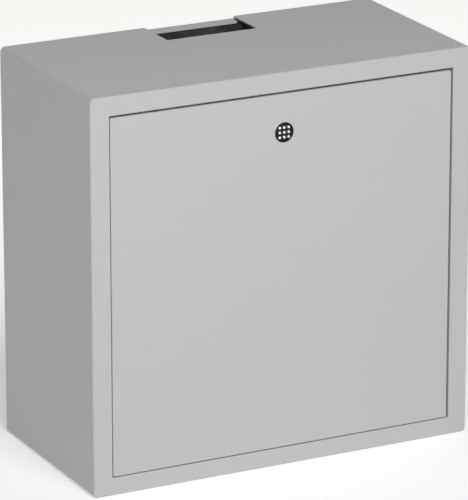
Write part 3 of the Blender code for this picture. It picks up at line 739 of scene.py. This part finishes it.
def build_bail():
    pivot = JOINTS["bail_swing"]["pos_m"]
    low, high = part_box("liner_bail")
    wire = (high.z - low.z) / 2
    arm, half, bend, joggle = pivot[1] - low.y - wire, 0.152, 0.004, 0.003
    end = high.x
    right = [(end, 0), (end - 0.0004, 0)]
    right += arc_points((half + joggle, -joggle), joggle, 90, 180)
    right += arc_points((half - bend, -arm + bend), bend, 0, -90)
    plan = right + [(-x, y) for x, y in reversed(right)]
    wire_skin = tube("bail_skin", [(x, pivot[1] + y, pivot[2]) for x, y in plan], wire, STEEL)
    stand_for(even_normals(wire_skin), "liner_bail")

    grip_low, grip_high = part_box("bail_grip")
    half_grip, thick, bore = grip_high.x, (grip_high.z - grip_low.z) / 2, wire + FIT
    profile = [(bore, half_grip), (thick - 0.0010, half_grip), (thick - 0.0003, half_grip - 0.0003)]
    profile.append((thick, half_grip - 0.0010))
    ribs = 9
    pitch = (2 * half_grip - 0.016) / ribs
    for i in range(ribs):
        z = half_grip - 0.008 - pitch * i
        profile += [(thick, z), (thick - 0.0007, z - 0.0008), (thick - 0.0007, z - pitch * 0.4)]
        profile.append((thick, z - pitch * 0.4 - 0.0008))
    profile += [(thick, -half_grip + 0.0010), (thick - 0.0003, -half_grip + 0.0003)]
    profile += [(thick - 0.0010, -half_grip), (bore, -half_grip)]
    grip = turn("grip_skin", profile, RUBBER, (0, pivot[1] - arm, pivot[2]), (1, 0, 0), 40)
    stand_for(grip, "bail_grip")


# ---------------------------------------------------------------- rivets and other small parts
def fine_rivet(node, head):
    """A domed rivet in a CAD rivet's own box; head is the direction its dome faces."""
    low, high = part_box(node)
    centre, size = (low + high) / 2, high - low
    axis = max(range(3), key=lambda i: abs(head[i]))
    length = size[axis]
    radius = size[(axis + 1) % 3] / 2
    dome = 0.0010
    top = length / 2
    profile = [
        (radius * math.cos(math.radians(a)), top - dome + dome * math.sin(math.radians(a)))
        for a in (90, 75, 60, 45, 30, 15, 5)
    ]
    profile[0] = (0, top)
    tail = radius - 0.0004
    profile += [(radius - 0.0001, top - dome), (RIVET_SHANK, top - dome)]
    profile += [(RIVET_SHANK, -top + 0.0007), (tail, -top + 0.0007), (tail, -top + 0.0003)]
    profile += [(tail - 0.0003, -top), (0, -top)]
    stand_for(turn(node + "_skin", profile, STEEL, centre, head, 24), node)


def build_rivets():
    for node in sorted(frame["nodes"]):
        side = 1 if "_right" in node else -1
        if node.startswith(("hook_rivet", "top_rivet")):
            fine_rivet(node, (0, -1, 0))
        elif node.startswith(("ear_rivet", "stay_rivet")):
            fine_rivet(node, (-side, 0, 0))


def build_small_parts():
    """What has the CAD's own shape, with its cut edges rounded."""
    for side in ("left", "right"):
        for node in ("liner_hook_", "bail_ear_", "stay_guide_", "door_stay_"):
            softened(node + side)
        for node in ("hinge_pin_", "hinge_bush_", "hinge_clip_", "stay_stop_"):
            softened(node + side, 0.00015)
        softened("liner_buffer_" + side, 0.0004, 3)
        softened("door_buffer_" + side, 0.0004, 3)
    for node in ("slot_chute", "lock_strike", "liner_rail", "lock_bracket", "lock_cam"):
        softened(node)
    softened("lock_nut", 0.0005, 3)
    softened("cam_washer", 0.00015)
    softened("cam_screw", 0.0003, 3)


# ---------------------------------------------------------------- camera, light and floor
def build_camera():
    """A long lens from the left, above and in front."""
    camera_data = bpy.data.cameras.new("camera")
    camera_data.lens, camera_data.sensor_width = 314.4, 36.0
    camera_data.clip_start, camera_data.clip_end = 0.5, 30.0
    camera = bpy.data.objects.new("camera", camera_data)
    yaw, pitch, roll = (math.radians(angle) for angle in (26.906, 18.151, -0.045))
    forward = Vector((
        math.sin(yaw) * math.cos(pitch), math.cos(yaw) * math.cos(pitch), -math.sin(pitch)
    ))
    level = Vector((math.cos(yaw), -math.sin(yaw), 0))
    upright = level.cross(forward)
    right = math.cos(roll) * level + math.sin(roll) * upright
    up = -math.sin(roll) * level + math.cos(roll) * upright
    camera.matrix_world = Matrix.Translation((-1.809, -3.5605, 1.4961)) @ Matrix((
        right, up, -forward
    )).transposed().to_4x4()
    bpy.context.scene.collection.objects.link(camera)
    bpy.context.scene.camera = camera


def area_light(name, place, target, size, power, tint=(1, 1, 1)):
    data = bpy.data.lights.new(name, "AREA")
    data.shape = "RECTANGLE"
    data.size, data.size_y = size
    data.energy = power
    data.color = tint
    light = bpy.data.objects.new(name, data)
    light.location = place
    light.rotation_mode = "QUATERNION"
    light.rotation_quaternion = (Vector(target) - Vector(place)).to_track_quat("-Z", "Y")
    bpy.context.scene.collection.objects.link(light)


def paper_strip(name, profile, half_width):
    """A strip of paper through (y, z) points, running across the view."""
    bm = bmesh.new()
    rows = [[bm.verts.new((x, y, z)) for x in (-half_width, half_width)] for y, z in profile]
    for first, second in zip(rows, rows[1:]):
        bm.faces.new((first[0], first[1], second[1], second[0]))
    mesh = bpy.data.meshes.new(name)
    bm.to_mesh(mesh)
    bm.free()
    mesh.shade_smooth()
    link(name, mesh, paper(name + "_paper"))


def build_stage():
    half_width, near, far, radius = 9.0, -9.0, 9.0, 2.0
    sweep = [
        (far - radius + radius * math.sin(angle), radius - radius * math.cos(angle))
        for angle in (math.radians(a) for a in range(0, 91, 10))
    ]
    paper_strip("backdrop", [(near, 0), *sweep, (far, 6.0)], half_width)

    world = bpy.data.worlds.new("studio")
    bpy.context.scene.world = world
    world.use_nodes = True
    background = world.node_tree.nodes["Background"]
    background.inputs["Color"].default_value = (1, 1, 1, 1)
    background.inputs["Strength"].default_value = 0.03
    bpy.context.scene.view_settings.view_transform = "Standard"
    area_light("key", (-0.35, -1.9, 2.7), (0, 0, 0.2), (1.6, 1.6), 61, (1, 0.985, 1))
    area_light("fill", (-0.45, -1.7, 0.9), (0, 0, 0.2), (0.9, 0.9), 5.4)


build_housing()
build_door()
build_back()
build_ledge()
build_lock()
build_liner()
build_bail()
build_rivets()
build_small_parts()
build_camera()
build_stage()
